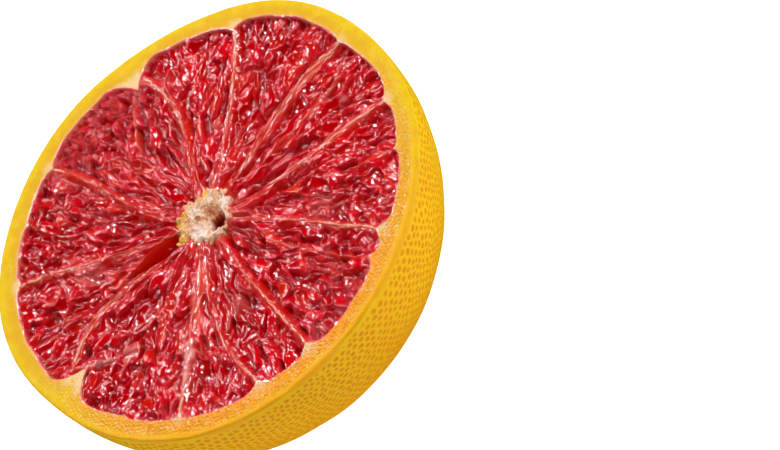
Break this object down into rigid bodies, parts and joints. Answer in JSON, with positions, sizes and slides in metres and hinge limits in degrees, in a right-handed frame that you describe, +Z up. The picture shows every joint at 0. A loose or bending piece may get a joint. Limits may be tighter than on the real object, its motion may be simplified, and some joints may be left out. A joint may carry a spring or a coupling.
{
  "type": "half grapefruit",
  "caption": "Fresh red grapefruit cut in half, dome down on a small flat spot, with the pulp segments, membranes, core and peel rim on show.",
  "frame": {"origin": "centre of the bounding box at the bottom, in the plane of the flat spot the fruit rests on", "axes": "+Z up out of the cut face, along the fruit's axis; +X and +Y lie in the cut plane"},
  "size_m": [0.1, 0.1, 0.044],
  "materials": {
    "grapefruit": null
  },
  "bodies": {
    "root": {"grapefruit_half": "grapefruit"}
  },
  "joints": []
}
